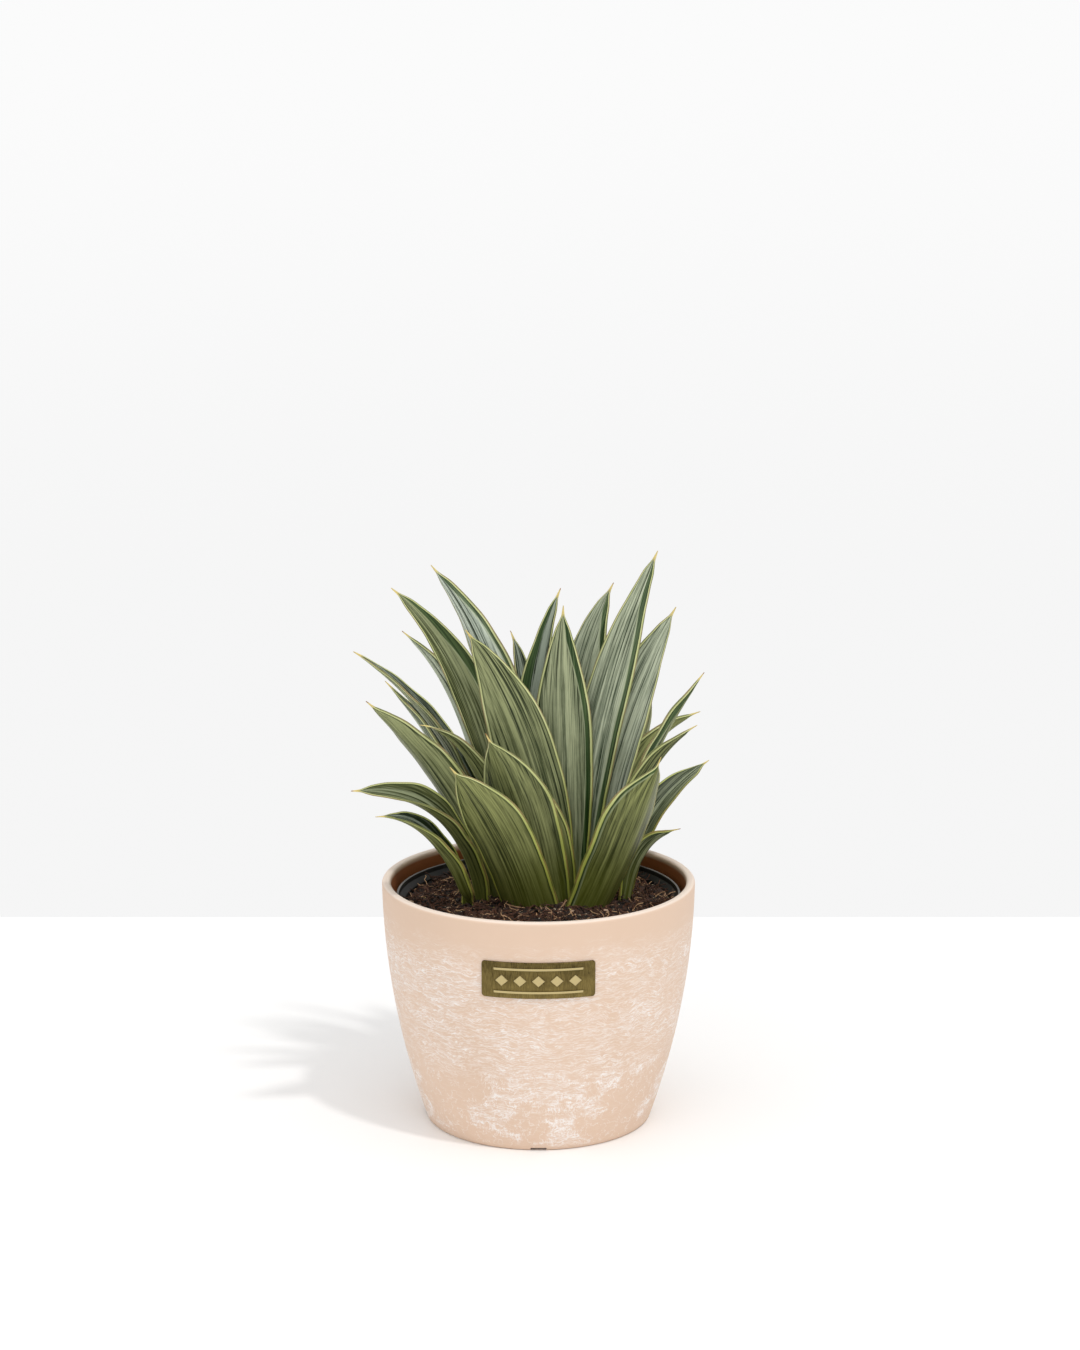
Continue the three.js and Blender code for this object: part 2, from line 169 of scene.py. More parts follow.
def place_in_mm(nodes):
    return nodes.add("ShaderNodeTexCoord", output="Object").vector("SCALE", 1 / MM)


def read(nodes, field):
    """A number stored on the mesh's points."""
    return nodes.add("ShaderNodeAttribute", {"attribute_name": field}, output="Fac")


def parts(place):
    split = "ShaderNodeSeparateXYZ"
    return [place.nodes.add(split, inputs={0: place}, output=axis) for axis in range(3)]


def joined(x, y, z):
    return x.nodes.add("ShaderNodeCombineXYZ", inputs={0: x, 1: y, 2: z})


def grain(place, scale=1.0, detail=3.0, roughness=0.5, warp=0.0, output="Fac"):
    inputs = {"Vector": place, "Scale": scale, "Detail": detail}
    inputs |= {"Roughness": roughness, "Distortion": warp}
    return place.nodes.add("ShaderNodeTexNoise", inputs=inputs, output=output)


def streaky(place, stretch, shift, detail=3.0, roughness=0.5):
    """Noise scaled along each axis, and shifted so that two patterns never match."""
    place = place.vector("MULTIPLY", stretch).vector("ADD", shift)
    return grain(place, 1.0, detail, roughness)


def mix(share, first, second):
    """A colour between two others."""
    inputs = {0: share, 6: first, 7: second}
    return share.nodes.add("ShaderNodeMix", {"data_type": "RGBA"}, inputs, output=2)


def bumped(height, distance, strength):
    inputs = {"Height": height, "Distance": distance, "Strength": strength}
    return height.nodes.add("ShaderNodeBump", inputs=inputs)


def colour(red, green, blue):
    """A colour as a painter reads it off a chart, 0 to 255, in the linear light Blender works in."""
    shares = [channel / 255 for channel in (red, green, blue)]
    light = [s / 12.92 if s <= 0.04045 else ((s + 0.055) / 1.055) ** 2.4 for s in shares]
    return (*light, 1.0)


print("pattern helpers are ready")

# %% [markdown]
# ## Floor, light and camera
# The plant stands on a pale floor in a bright studio. A small strong light comes from the right,
# in front and above, and throws a short shadow to the left and back; white surroundings do the
# rest. The camera has a long lens and looks slightly down on the rim.

# %% Floor
def new_object(name, data):
    """An object that shows the data, put in the scene."""
    made = bpy.data.objects.new(name, data)
    bpy.context.scene.collection.objects.link(made)
    return made


def plain_object(name, points, faces):
    mesh = bpy.data.meshes.new(name)
    mesh.from_pydata(points, [], faces)
    mesh.update()
    return new_object(name, mesh)


FLOOR_SIDE = 2.5
FLOOR_BACK = 0.302
near_edge = [(-FLOOR_SIDE, -FLOOR_SIDE, 0), (FLOOR_SIDE, -FLOOR_SIDE, 0)]
far_edge = [(FLOOR_SIDE, FLOOR_BACK, 0), (-FLOOR_SIDE, FLOOR_BACK, 0)]
floor = plain_object("floor", near_edge + far_edge, [(0, 1, 2, 3)])
floor_finish, nodes, shader = new_finish("white_table", Roughness=0.7)
mottle = grain(place_in_mm(nodes), 0.01)
feed(shader, Base_Color=mix(mottle, colour(246, 246, 246), colour(250, 250, 250)))
floor.data.materials.append(floor_finish)
floor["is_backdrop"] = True
print("floor", 2 * FLOOR_SIDE, "m wide")

# %% Light
world = bpy.data.worlds.new("studio")
world.use_nodes = True
nodes = Nodes(world.node_tree)
direction = nodes.add("ShaderNodeTexCoord", output="Generated")
side, depth, height = parts(direction)
backdrop = 0.92 + height.step(-0.2, -0.02) * 0.045
softbox = (height * 0.9 - depth * 0.4 - side * 0.08).step(0.3, 1.0)
above = 0.6 + softbox * 0.68
is_above = height.step(-0.01, 0.02)
strength = backdrop * (1 - is_above) + above * is_above
background = world.node_tree.nodes["Background"]
world.node_tree.links.new(strength.socket, background.inputs["Strength"])
background.inputs["Color"].default_value = (1.0, 1.0, 1.0, 1.0)
bpy.context.scene.world = world

key = bpy.data.lights.new("key", "SUN")
key.energy = 0.8
key.angle = math.radians(3.8)
key.color = (1.0, 0.985, 0.96)
light_heads = Vector((-0.37, 0.43, -1.0))
new_object("key", key).rotation_euler = light_heads.to_track_quat("-Z", "Y").to_euler()
bpy.context.scene.view_settings.view_transform = "Standard"
print("key light", key.energy)

# %% Camera
lens = bpy.data.cameras.new("camera")
lens.lens = 85
lens.sensor_width = 36
lens.clip_start = 0.05
camera = new_object("camera", lens)
camera.location = (0.00067, -1.3731, 0.5081)
camera.rotation_euler = (math.radians(77.47), 0, 0)
bpy.context.scene.camera = camera
print("camera", [round(c, 3) for c in camera.location])

# %% [markdown]
# ## The planter's shape
# The planter is moulded: a round wall that tapers with a gentle swelling, a rounded rim, and a
# foot ring with four small notches that let water out. A turned profile with many steps gives it
# true curves. Booleans then cut the notches. The name plate's seat has a cutter too, but it
# leaves no mark on this wall, so the plate ends up sunk into it without a groove.

# %% Turned shapes
def turned(name, profile, sides):
    """Turn a profile of (radius, height) in millimetres about the upright axis, poles closed.

    The profile runs anticlockwise as seen with the axis on its left, so faces point outwards.
    """
    angles = [2 * math.pi * i / sides for i in range(sides)]
    points = []
    rows = []
    for radius, height in profile:
        first = len(points)
        if radius == 0:
            rows.append([first] * sides)
            points.append((0, 0, height * MM))
        else:
            rows.append(range(first, first + sides))
            for a in angles:
                points.append((radius * math.cos(a) * MM, radius * math.sin(a) * MM, height * MM))
    if profile[0][0] != 0:
        rows.append(rows[0])
    faces = []
    for low, high in zip(rows, rows[1:]):
        for i in range(sides):
            j = (i + 1) % sides
            corners = dict.fromkeys((low[i], low[j], high[j], high[i]))
            faces.append(tuple(corners))
    return plain_object(name, points, faces)


def smooth(piece, angle=35):
    """Shade round surfaces smoothly and keep edges sharper than an angle crisp."""
    piece.data.shade_smooth()
    piece.data.set_sharp_from_angle(angle=math.radians(angle))


def arc(centre_r, centre_z, radius, start, end, steps):
    """Points on an arc of a profile, angles in degrees."""
    angles = [math.radians(start + (end - start) * i / steps) for i in range(steps + 1)]
    return [(centre_r + radius * math.cos(a), centre_z + radius * math.sin(a)) for a in angles]


print("turning tools are ready")

# %% Sizes of the planter, in millimetres
RIM_RADIUS = 70.0
FOOT_RADIUS = 50.5
POT_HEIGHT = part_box("planter")[1].z / MM
WALL = 4.0
WALL_BULGE = 4.6
RIM_ROUND = 1.6
FLOOR_TOP = 6.0
FOOT_RECESS = 2.0
FOOT_RING = 4.5
DRAIN_RADIUS = 6.0


def taper(t):
    """The wall's outer radius at a share of its height, for a number or for a node's value."""
    return FOOT_RADIUS + (RIM_RADIUS - FOOT_RADIUS) * t + WALL_BULGE * 4 * t * (1 - t)


def wall_radius(z):
    return taper(min(max(z / POT_HEIGHT, 0.0), 1.0))


print("planter", POT_HEIGHT, "mm tall and", 2 * RIM_RADIUS, "mm across")

# %% Cut a shape out of another
def evaluated_mesh(piece):
    """The mesh that a piece's modifiers make of it."""
    bpy.context.view_layer.update()
    graph = bpy.context.evaluated_depsgraph_get()
    return bpy.data.meshes.new_from_object(piece.evaluated_get(graph))


def cut_out(piece, *cutters):
    """Subtract closed shapes from a piece and keep only the result."""
    for cutter in cutters:
        modifier = piece.modifiers.new("cut", "BOOLEAN")
        modifier.operation = "DIFFERENCE"
        modifier.solver = "EXACT"
        modifier.object = cutter
    mesh = evaluated_mesh(piece)
    piece.modifiers.clear()
    piece.data = mesh
    for cutter in cutters:
        bpy.data.objects.remove(cutter)


def block(name, low, high, turn):
    """A box between two corners in millimetres, turned about the upright axis."""
    c, s = math.cos(turn), math.sin(turn)
    corners = itertools.product(*zip(low, high))
    points = [((x * c - y * s) * MM, (x * s + y * c) * MM, z * MM) for x, y, z in corners]
    faces = [(0, 1, 3, 2), (4, 6, 7, 5), (0, 4, 5, 1), (2, 3, 7, 6), (0, 2, 6, 4), (1, 5, 7, 3)]
    return plain_object(name, points, faces)


print("cutting tools are ready")

# %% Turn the planter
WALL_STEPS = 56
INNER_STEPS = 28
TURNED_SIDES = 240
outer_top = POT_HEIGHT - RIM_ROUND
rise = outer_top - 0.8
heights = [0.8 + rise * i / WALL_STEPS for i in range(WALL_STEPS + 1)]
outer = [(wall_radius(z), z) for z in heights]
drop = outer_top - FLOOR_TOP - 4
heights = [outer_top - drop * i / INNER_STEPS for i in range(1, INNER_STEPS)]
inner = [(wall_radius(z) - WALL, z) for z in heights]
floor_radius = wall_radius(FLOOR_TOP + 3) - WALL
planter_profile = [
    (DRAIN_RADIUS + 0.3, FOOT_RECESS),
    (FOOT_RADIUS - FOOT_RING - 0.5, FOOT_RECESS),
    (FOOT_RADIUS - FOOT_RING - 0.1, 0.3),
    (FOOT_RADIUS - FOOT_RING + 0.3, 0),
    (FOOT_RADIUS - 0.9, 0),
    (FOOT_RADIUS - 0.35, 0.2),
    *outer,
    *arc(RIM_RADIUS - RIM_ROUND, outer_top, RIM_ROUND, 12, 90, 8),
    *arc(RIM_RADIUS - WALL + RIM_ROUND, outer_top, RIM_ROUND, 90, 172, 8),
    *inner,
    *arc(floor_radius - 3, FLOOR_TOP + 3, 3, 0, -90, 6),
    (DRAIN_RADIUS + 0.3, FLOOR_TOP),
    (DRAIN_RADIUS, FLOOR_TOP - 0.3),
    (DRAIN_RADIUS, FOOT_RECESS + 0.3),
]
planter = turned("planter_body", planter_profile, TURNED_SIDES)
print("turned planter", len(planter.data.polygons), "faces")

# %% [markdown]
# ## The name plate
# A curved metal plate is set into the wall. It is drawn flat, its front edge is
# bevelled, it is sliced into narrow strips so that it can bend, and each point is then moved onto
# the wall. It carries a plain row of raised lozenges between two lines.

# %% Bend flat work onto the wall
PLATE_WIDTH = 50.0
PLATE_HEIGHT = 16.5
PLATE_Z = 84.0
PLATE_PROUD = 0.9
PLATE_THICKNESS = 1.8
PLATE_GAP = 0.3


def rounded_slab(name, width, height, corner, back, front, bevel):
    """A rounded rectangle with a bevelled front edge, sliced and bent onto the wall."""
    bm = bmesh.new()
    outline = []
    for sx, sz, start in ((1, -1, -90), (1, 1, 0), (-1, 1, 90), (-1, -1, 180)):
        centre = (sx * (width / 2 - corner), sz * (height / 2 - corner))
        outline += arc(*centre, corner, start, start + 90, 6)
    base = bm.faces.new([bm.verts.new((x, back, z)) for x, z in outline])
    lifted = bmesh.ops.extrude_face_region(bm, geom=[base])["geom"]
    face_verts = [g for g in lifted if isinstance(g, bmesh.types.BMVert)]
    for vert in face_verts:
        vert.co.y = front
    if bevel:
        rim = [e for e in bm.edges if all(v in face_verts for v in e.verts)]
        bmesh.ops.bevel(bm, geom=rim, offset=bevel, segments=3, profile=0.5, affect="EDGES")
    slice_up(bm, width, height)
    return bent_onto_wall(name, bm)


def slice_up(bm, width, height):
    """Cut flat work every millimetre across and every three millimetres up."""
    cuts = [((i - width / 2, 0, 0), (1, 0, 0)) for i in range(1, int(width))]
    cuts += [((0, 0, 3 * i - height / 2), (0, 0, 1)) for i in range(1, int(height / 3))]
    for place, facing in cuts:
        everything = [*bm.verts, *bm.edges, *bm.faces]
        bmesh.ops.bisect_plane(bm, geom=everything, plane_co=place, plane_no=facing)


def bent_onto_wall(name, bm):
    """A piece whose points (across, proud of the wall, up) are moved onto the planter's front."""
    reach = wall_radius(PLATE_Z)
    for vert in bm.verts:
        x, proud, z = vert.co
        radius = wall_radius(PLATE_Z + z) + proud
        across = reach * math.sin(x / reach)
        vert.co = (across * MM, -math.sqrt(radius**2 - across**2) * MM, (PLATE_Z + z) * MM)
    bmesh.ops.recalc_face_normals(bm, faces=bm.faces)
    made = plain_object(name, [], [])
    bm.to_mesh(made.data)
    bm.free()
    return made


print("plate seat is", PLATE_WIDTH + 2 * PLATE_GAP, "mm wide")

# %% Cut the plate's seat and the notches, then make the plate
PLATE_CORNER = 1.5
PLATE_BEVEL = 0.35
NOTCH_WIDTH = 7.0
NOTCH_HEIGHT = 1.4
plate_back = PLATE_PROUD - PLATE_THICKNESS
seat_width = PLATE_WIDTH + 2 * PLATE_GAP
seat_height = PLATE_HEIGHT + 2 * PLATE_GAP
seat_corner = PLATE_CORNER + PLATE_GAP
seat = rounded_slab("seat", seat_width, seat_height, seat_corner, plate_back - PLATE_GAP, 4.0, 0)
low = (FOOT_RADIUS - FOOT_RING - 3, -NOTCH_WIDTH / 2, -2)
high = (FOOT_RADIUS + 4, NOTCH_WIDTH / 2, NOTCH_HEIGHT)
notches = [block("notch", low, high, i * math.pi / 2) for i in range(4)]
cut_out(planter, seat, *notches)
smooth(planter)
slab = (PLATE_WIDTH, PLATE_HEIGHT, PLATE_CORNER, plate_back, PLATE_PROUD, PLATE_BEVEL)
plate = rounded_slab("plate_slab", *slab)
print("planter", len(planter.data.polygons), "faces; plate", len(plate.data.polygons))

# %% [markdown]
# ## The raised motif
# A row of equal shapes at equal steps is what Geometry Nodes are for. The tree draws one lozenge
# from a four-sided circle, lifts its face and draws the top in to slope the sides, then puts a
# copy on each point of a line. The long lines above and below are rows of one oblong each. The
# flat result is bent onto the wall with the plate.

# %% Geometry Nodes tools
def new_tree(name, **sizes):
    """A Geometry Nodes tree with named inputs; gives the tree, its nodes and its inputs."""
    tree = bpy.data.node_groups.new(name, "GeometryNodeTree")
    tree.interface.new_socket("Geometry", in_out="INPUT", socket_type="NodeSocketGeometry")
    kinds = {float: "NodeSocketFloat", int: "NodeSocketInt"}
    for size, value in sizes.items():
        socket = tree.interface.new_socket(size, in_out="INPUT", socket_type=kinds[type(value)])
        socket.default_value = value
    tree.interface.new_socket("Geometry", in_out="OUTPUT", socket_type="NodeSocketGeometry")
    entry = tree.nodes.new("NodeGroupInput")
    inputs = {socket.name: Value(socket) for socket in entry.outputs if socket.name}
    return tree, Nodes(tree), inputs


def end_tree(nodes, geometry, material):
    """Every tree ends the same way: real meshes, one material."""
    real = nodes.add("GeometryNodeRealizeInstances", inputs={0: geometry})
    coated = nodes.add("GeometryNodeSetMaterial", inputs={"Geometry": real, "Material": material})
    exit_node = nodes.tree.nodes.new("NodeGroupOutput")
    nodes.tree.links.new(coated.socket, exit_node.inputs[0])


def grown(name, base, tree, **sizes):
    """Run a tree on a base object with some of its sizes set, and keep a plain mesh."""
    modifier = base.modifiers.new("grow", "NODES")
    modifier.node_group = tree
    for socket in tree.interface.items_tree:
        if socket.in_out == "INPUT" and socket.name in sizes:
            modifier[socket.identifier] = sizes[socket.name]
    mesh = evaluated_mesh(base)
    base.modifiers.remove(modifier)
    mesh.name = name
    return new_object(name, mesh)


print("tree tools are ready")

# %% [markdown]
# ## Antique brass
# The plate is cast brass that has been darkened, brushed upright and rubbed bright on whatever
# stands proud. One finish makes both: how far a point stands out of the wall decides how much of
# the dark coat has been rubbed away, and upright streaks of noise are the brush marks.

# %% Brass finish
def proud_of_wall(place):
    """How far a point stands outside the planter's wall, in millimetres."""
    x, y, z = parts(place)
    return (x * x + y * y).math("SQRT") - taper(z / POT_HEIGHT)


brass, nodes, shader = new_finish("antique_brass", Metallic=0.85)
place = place_in_mm(nodes)
z = parts(place)[2]
rubbed = proud_of_wall(place).step(PLATE_PROUD + 0.12, PLATE_PROUD + 0.42)
brushed = streaky(place, (6.0, 0.5, 0.35), (0, 0, 0), 4.0, 0.65)
cloudy = streaky(place, (0.14, 0.14, 0.2), (9, 3, 1))
# Painted reflection: the plate is painted paler towards its foot, where it mirrors the bright floor
# below.
floor_reflection = z.step(PLATE_Z + 6, PLATE_Z - 9)
tone = (brushed.step(0.34, 0.66) * 0.6 + cloudy.step(0.3, 0.75) * 0.25 + floor_reflection * 0.3).clamp()
coat = mix(tone, colour(60, 48, 20), colour(142, 124, 72))
feed(
    shader,
    Base_Color=mix(rubbed, coat, colour(196, 178, 128)),
    Roughness=0.44 - rubbed * 0.2 + brushed * 0.12,
    Normal=bumped(brushed, 0.00012, 0.5),
)
print("brass", len(brass.node_tree.nodes), "nodes")

# %% Grow the motif and join it to the plate
def row_tree(name, oblong):
    """A row of raised shapes, lozenges or oblongs, with tops drawn in to slope their sides."""
    sizes = {"Count": 5, "Pitch": 8.0, "Width": 6.4, "Height": 5.9, "Relief": 0.5, "Bevel": 0.82}
    tree, nodes, size = new_tree(name, **sizes)
    if oblong:
        inputs = {"Size X": size["Width"], "Size Y": size["Height"], "Vertices X": 2, "Vertices Y": 2}
        flat = nodes.add("GeometryNodeMeshGrid", inputs=inputs)
    else:
        inputs = {"Vertices": 4, "Radius": 0.5}
        flat = nodes.add("GeometryNodeMeshCircle", {"fill_type": "NGON"}, inputs)
        stretch = joined(size["Width"], size["Height"], 1.0)
        flat = nodes.add("GeometryNodeTransform", inputs={"Geometry": flat, "Scale": stretch})
    inputs = {"Mesh": flat, "Offset Scale": size["Relief"], "Individual": False}
    extrude = nodes.add("GeometryNodeExtrudeMesh", {"mode": "FACES"}, inputs)
    top = Value(extrude.socket.node.outputs["Top"])
    inputs = {"Geometry": extrude, "Selection": top, "Scale": size["Bevel"]}
    drawn_in = nodes.add("GeometryNodeScaleElements", {"domain": "FACE"}, inputs)
    spread = size["Pitch"] * (size["Count"] - 1) * -0.5
    inputs = {
        "Count": size["Count"],
        "Start Location": joined(spread, 0.0, 0.0),
        "Offset": joined(size["Pitch"], 0.0, 0.0),
    }
    line = nodes.add("GeometryNodeMeshLine", {"mode": "OFFSET"}, inputs)
    row = nodes.add("GeometryNodeInstanceOnPoints", inputs={"Points": line, "Instance": drawn_in})
    end_tree(nodes, row, brass)
    return tree


def onto_plate(flat, up):
    """Stand flat work up on the plate, slice it so that it can bend, and bend it."""
    bm = bmesh.new()
    bm.from_mesh(flat.data)
    bpy.data.objects.remove(flat)
    for vert in bm.verts:
        x, y, z = vert.co
        vert.co = (x, PLATE_PROUD - 0.05 + z, y + up)
    slice_up(bm, PLATE_WIDTH, 3)
    return bent_onto_wall("motif", bm)


seed_point = plain_object("seed_point", [(0, 0, 0)], [])
lozenges = grown("lozenges", seed_point, row_tree("raised_row", False))
motif = [onto_plate(lozenges, 0.0)]
line_tree = row_tree("raised_line", True)
for side in (-1, 1):
    sizes = {"Count": 1, "Width": PLATE_WIDTH * 0.8, "Height": 1.0, "Bevel": 0.96}
    line = grown("line", seed_point, line_tree, **sizes)
    motif.append(onto_plate(line, side * PLATE_HEIGHT * 0.32))
bpy.data.objects.remove(seed_point)
print("motif pieces", [len(m.data.polygons) for m in motif])

# %% Join meshes into one piece
def join(name, pieces):
    """One mesh from several, which are removed."""
    bm = bmesh.new()
    for piece in pieces:
        bm.from_mesh(piece.data)
    mesh = bpy.data.meshes.new(name)
    bm.to_mesh(mesh)
    bm.free()
    for piece in pieces:
        bpy.data.objects.remove(piece)
    return new_object(name, mesh)


def place_piece(piece, slot, material, *solids):
    """Coat a finished piece, hang it on the root empty and hide the solids it stands for."""
    piece.data.materials.clear()
    piece.data.materials.append(material)
    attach(piece, "root")
    if solids:
        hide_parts(*solids)
    print(f"{piece.name}: {len(piece.data.polygons)} faces")


plate = join("brass_plate", [plate, *motif])
smooth(plate, 28)
place_piece(plate, "plate_brass", brass, "name_plate")

# %% [markdown]
# ## Lime-washed peach
# The planter is coloured right through, and a thin white wash lies in the scratches of its skin.
# There is a smooth band under the rim, then countless fine, level, wavy scratches, and nearer the
# foot larger smooth patches whose ragged borders are feathered with short upright marks. Each
# kind of mark is the thin band where stretched noise crosses one half, kept inside a mask.

# %% Planter finish
limewash, nodes, shader = new_finish("limewashed_peach", IOR=1.45)
place = place_in_mm(nodes)
z = parts(place)[2]
DRIFT = 7.0
drift = grain(place, 0.09, output="Color")
wavy = place.vector("ADD", drift.vector("SCALE", DRIFT))


def scratches(stretch, shift, thin, detail):
    """Thin lines where stretched noise crosses one half."""
    noise = streaky(wavy, stretch, shift, detail, 0.62)
    return (noise - 0.5).math("ABSOLUTE").step(thin, 0.0)


level = scratches((0.085, 0.085, 0.6), (0, 0, 0), 0.045, 3.0)
level_fine = scratches((0.16, 0.16, 1.1), (31, 7, 3), 0.065, 2.0)
upright = scratches((0.7, 0.7, 0.15), (5, 17, 41), 0.075, 2.0)
crackle = scratches((0.16, 0.16, 0.15), (11, 2, 23), 0.016, 3.0)
clouds = streaky(place, (0.03, 0.03, 0.05), (3, 8, 5), 4.0, 0.6)
ragged = streaky(place, (0.09, 0.09, 0.25), (1, 5, 9), 5.0, 0.65)
top_edge = (z + ragged * 26.0).step(POT_HEIGHT + 6, POT_HEIGHT - 15)
patches = streaky(place, (0.038, 0.038, 0.045), (7, 1, 4))
low_zone = z.step(46.0, 30.0)
bare = patches.step(0.44, 0.48) * low_zone
border = (patches - 0.44).math("ABSOLUTE").step(0.07, 0.01) * low_zone * ragged.step(0.4, 0.55)
foot_fade = z.step(0.5, 4.0)
print("limewash patterns", len(limewash.node_tree.nodes), "nodes")

# %% Planter finish, continued
spread = clouds.step(0.3, 0.6) * 0.55 + 0.45
streaks = (level * 0.62 + level_fine * 0.45) * spread * top_edge * (1 - bare * 0.85)
feathers = upright * border * 0.7 + crackle * low_zone * 0.6
veil = (clouds.step(0.4, 0.75) * 0.1 + ragged.step(0.5, 0.75) * 0.1) * top_edge * (1 - bare)
white = ((streaks + feathers + veil) * foot_fade).clamp()
# Inside the wall, below the rim, the peach is painted deep brown: a darker inner colour together with
# painted shade inside the pot.
inside = proud_of_wall(place).step(-2.4, -3.2) * z.step(POT_HEIGHT - 1.2, POT_HEIGHT - 3.2)
tint = streaky(place, (0.02, 0.02, 0.02), (4, 4, 4), 2.0)
peach = mix(tint, colour(219, 190, 166), colour(228, 201, 179))
skin = mix(white, peach, colour(247, 240, 236))
# The top of the rim is painted paler: wear together with a painted highlight where light from above
# falls on it.
rim_wear_and_highlight = z.step(POT_HEIGHT - 1.0, POT_HEIGHT - 0.2) * 0.5
skin = mix(rim_wear_and_highlight, skin, colour(250, 242, 234))
pores = grain(place, 2.2, 4.0, 0.6)
feed(
    shader,
    Base_Color=mix(inside, skin, colour(158, 92, 48)),
    Roughness=0.55 + white * 0.22 + pores * 0.08,
    Normal=bumped(pores * 0.35 + white * 0.65, 0.00018, 0.6),
)
place_piece(planter, "planter_wall", limewash, "planter")

# %% [markdown]
# ## The nursery pot
# The plant was grown in a thin black plastic pot, which simply stands in the planter. Only its
# lip shows, with a pale line of dust and light on its edge. It is turned like the planter, and
# the six holes in its base are cut with short rods.

# %% Nursery pot
NURSERY_LOW, NURSERY_HIGH = (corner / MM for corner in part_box("nursery_pot"))
LIP_RADIUS = NURSERY_HIGH.x
LIP_Z = NURSERY_HIGH.z
BASE_Z = NURSERY_LOW.z
SHELL_WALL = 1.2
BODY_RADIUS = LIP_RADIUS - 1.6
BASE_RADIUS = 43.0


def nursery_radius(z):
    t = (z - BASE_Z) / (LIP_Z - BASE_Z)
    return BASE_RADIUS + (BODY_RADIUS - BASE_RADIUS) * t


lip_foot = LIP_Z - 3
nursery_profile = [
    (0, BASE_Z),
    (BASE_RADIUS - 1, BASE_Z),
    (BASE_RADIUS - 0.3, BASE_Z + 0.3),
    (BASE_RADIUS, BASE_Z + 1),
]
for i in range(1, 12):
    z = BASE_Z + 1 + (lip_foot - 1.5 - BASE_Z) * i / 12
    nursery_profile.append((nursery_radius(z), z))
nursery_profile += [
    (nursery_radius(lip_foot - 0.5), lip_foot - 0.5),
    (LIP_RADIUS - 0.15, lip_foot - 0.05),
    (LIP_RADIUS, lip_foot + 0.2),
    *arc(LIP_RADIUS - 0.5, LIP_Z - 0.5, 0.5, 0, 90, 5),
    *arc(LIP_RADIUS - SHELL_WALL + 0.4, LIP_Z - 0.4, 0.4, 90, 180, 4),
    (LIP_RADIUS - SHELL_WALL - 0.3, lip_foot + 1),
    (nursery_radius(lip_foot - 1) - SHELL_WALL, lip_foot - 1),
    (nursery_radius(BASE_Z + 3) - SHELL_WALL, BASE_Z + 3),
    (BASE_RADIUS - 3, BASE_Z + SHELL_WALL),
    (0, BASE_Z + SHELL_WALL),
]
nursery = turned("nursery_shell", nursery_profile, 160)
HOLE_RADIUS = 3.5
HOLES_AT = 0.66 * BASE_RADIUS
rod_low = BASE_Z - 1
rod_high = BASE_Z + 3
rod_profile = [(0, rod_low), (HOLE_RADIUS, rod_low), (HOLE_RADIUS, rod_high), (0, rod_high)]
rods = []
for i in range(6):
    a = i * math.pi / 3
    rod = turned("rod", rod_profile, 24)
    for vert in rod.data.vertices:
        vert.co.x += HOLES_AT * math.cos(a) * MM
        vert.co.y += HOLES_AT * math.sin(a) * MM
    rods.append(rod)
cut_out(nursery, *rods)
smooth(nursery)

black, nodes, shader = new_finish("black_nursery_plastic")
place = place_in_mm(nodes)
z = parts(place)[2]
dust = grain(place, 0.35, 5.0, 0.7)
# The pale line along the lip is dust together with a painted highlight where light catches the edge.
edge_line = z.step(LIP_Z - 0.35, LIP_Z - 0.05)
scuffs = streaky(place, (0.2, 0.2, 1.6), (0, 0, 0), 4.0, 0.6)
dust_and_lip_highlight = (edge_line * (dust * 0.5 + 0.35) + dust.step(0.55, 0.85) * 0.2).clamp()
feed(
    shader,
    Base_Color=mix(dust_and_lip_highlight, colour(20, 20, 21), colour(150, 148, 145)),
    Roughness=0.4 + dust * 0.2,
    Normal=bumped(scuffs, 0.0001, 0.5),
)
place_piece(nursery, "nursery_plastic", black, "nursery_pot")

# %% [markdown]
# ## The soil
# Potting soil is a bed of crumbs with coir fibres, bark and white grit in it. The bed itself is a
# turned shape whose top is pushed up and down by noise. Everything that lies on it is grown by
# Geometry Nodes: points are scattered over the bed with a fixed seed, and a fibre, a chip of bark
# or a grain of grit goes on each.

# %% Soil bed
SOIL_TOP = LIP_Z - 4.0
SOIL_EDGE = nursery_radius(SOIL_TOP - 2) - SHELL_WALL - 0.3
BED_RINGS = 46
bed_foot = BASE_Z + SHELL_WALL + 0.3
bed_profile = [
    (0, bed_foot),
    (BASE_RADIUS - 3.3, bed_foot),
    (nursery_radius(BASE_Z + 3) - 1.5, BASE_Z + 3.3),
    (SOIL_EDGE, SOIL_TOP - 2),
]
for i in range(1, BED_RINGS + 1):
    share = 1 - i / BED_RINGS
    bed_profile.append((SOIL_EDGE * share, SOIL_TOP - 0.8 * share**4))
bed = turned("soil_bed", bed_profile, 220)
for vert in bed.data.vertices:
    x, y, z = vert.co / MM
    if z > SOIL_TOP - 1.9:
        out = math.hypot(x, y) / SOIL_EDGE
        swell = 1.5 * noise.fractal(Vector((x, y, 0)) * 0.07, 1.0, 2.0, 3)
        crumb = 0.9 * noise.fractal(Vector((x, y, 5)) * 0.35, 0.8, 2.0, 4)
        vert.co.z += (swell + crumb + 0.8 * (1 - out)) * MM
smooth(bed, 60)
print("soil bed", len(bed.data.polygons), "faces")

# %% Soil finishes
earth, nodes, shader = new_finish("damp_soil")
place = place_in_mm(nodes)
crumbs = grain(place, 0.9, 6.0, 0.7)
damp = grain(place, 0.12, 3.0)
rich = mix(crumbs.step(0.35, 0.7), colour(6, 4, 3), colour(38, 24, 16))
feed(
    shader,
    Base_Color=mix(damp.step(0.35, 0.7) * 0.5, rich, colour(24, 14, 9)),
    Roughness=0.75 + crumbs * 0.25,
    Normal=bumped(crumbs, 0.0012, 0.9),
)


